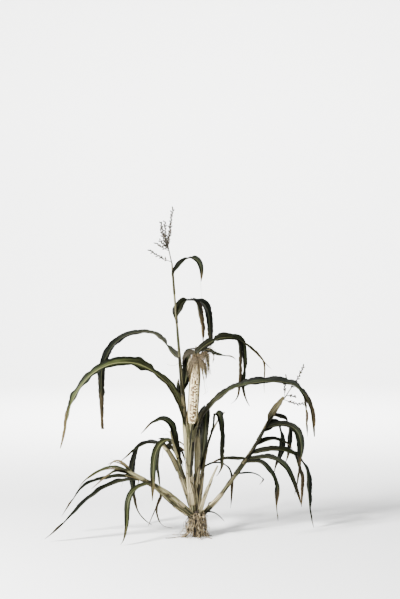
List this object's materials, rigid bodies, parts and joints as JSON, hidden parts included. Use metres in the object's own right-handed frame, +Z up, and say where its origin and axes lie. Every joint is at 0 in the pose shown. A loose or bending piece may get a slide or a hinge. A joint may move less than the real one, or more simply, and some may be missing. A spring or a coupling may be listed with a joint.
{
  "type": "maize plant",
  "caption": "Flowering maize plant with arching strap leaves, a husked ear and low side shoots, standing upright on its dug-up clump of roots.",
  "frame": {"origin": "middle of the root clump's flat foot, on the floor", "axes": "+Z up, +X to the right as pictured, -Y to the front"},
  "size_m": [0.9158, 0.4314, 1.1226],
  "materials": {
    "root": "matt, earthy",
    "stalk": "satin, faintly ribbed",
    "sheath": "satin, papery",
    "leaf": "satin, veined",
    "dark_leaf": "satin, veined, drying",
    "husk": "matt, papery",
    "kernel": "satin",
    "silk": "matt, stringy",
    "tassel": "matt, chaffy"
  },
  "bodies": {
    "root": {"root_clump": "root", "main_stalk": "stalk", "second_stalk": "sheath", "third_stalk": "sheath", "pale_shoot": "sheath", "right_tiller": "stalk", "upper_left_tiller": "stalk", "upper_left_shoot": "stalk", "lower_left_tiller": "stalk", "lower_left_shoot": "stalk", "ear_shank": "sheath", "ear": "kernel", "silk": "silk", "ear_husk": "husk", "main_tassel": "tassel", "right_tassel": "tassel", "main_stalk_leaf_1": "leaf", "main_stalk_leaf_1_tip": "leaf", "main_stalk_leaf_2": "leaf", "main_stalk_leaf_2_tip": "leaf", "main_stalk_leaf_3": "dark_leaf", "main_stalk_leaf_4": "dark_leaf", "main_stalk_leaf_5": "dark_leaf", "main_stalk_leaf_5_tip": "dark_leaf", "main_stalk_leaf_6": "leaf", "second_stalk_leaf_1": "leaf", "second_stalk_leaf_1_tip": "leaf", "second_stalk_leaf_2": "leaf", "second_stalk_leaf_2_tip": "leaf", "third_stalk_leaf_1": "leaf", "third_stalk_leaf_2": "dark_leaf", "right_tiller_leaf_1": "dark_leaf", "right_tiller_leaf_2": "dark_leaf", "right_tiller_leaf_3": "dark_leaf", "right_tiller_leaf_4": "dark_leaf", "right_tiller_leaf_5": "dark_leaf", "right_tiller_leaf_6": "dark_leaf", "right_tiller_leaf_7": "dark_leaf", "right_tiller_leaf_8": "dark_leaf", "right_tiller_leaf_9": "dark_leaf", "right_tiller_leaf_10": "dark_leaf", "right_tiller_leaf_11": "dark_leaf", "upper_left_shoot_leaf_1": "leaf", "upper_left_shoot_leaf_2": "leaf", "upper_left_tiller_leaf_1": "leaf", "upper_left_tiller_leaf_2": "leaf", "upper_left_tiller_leaf_2_tip": "leaf", "upper_left_tiller_leaf_3": "leaf", "upper_left_tiller_leaf_4": "leaf", "lower_left_tiller_leaf_1": "leaf", "lower_left_tiller_leaf_2": "leaf", "lower_left_tiller_leaf_3": "leaf", "lower_left_tiller_leaf_4": "leaf", "lower_left_tiller_leaf_5": "leaf", "lower_left_tiller_leaf_6": "leaf", "lower_left_tiller_leaf_7": "leaf", "lower_left_tiller_leaf_8": "leaf", "ear_shank_leaf_1": "leaf", "ear_shank_leaf_1_tip": "leaf", "ear_shank_leaf_2": "dark_leaf"}
  },
  "joints": []
}
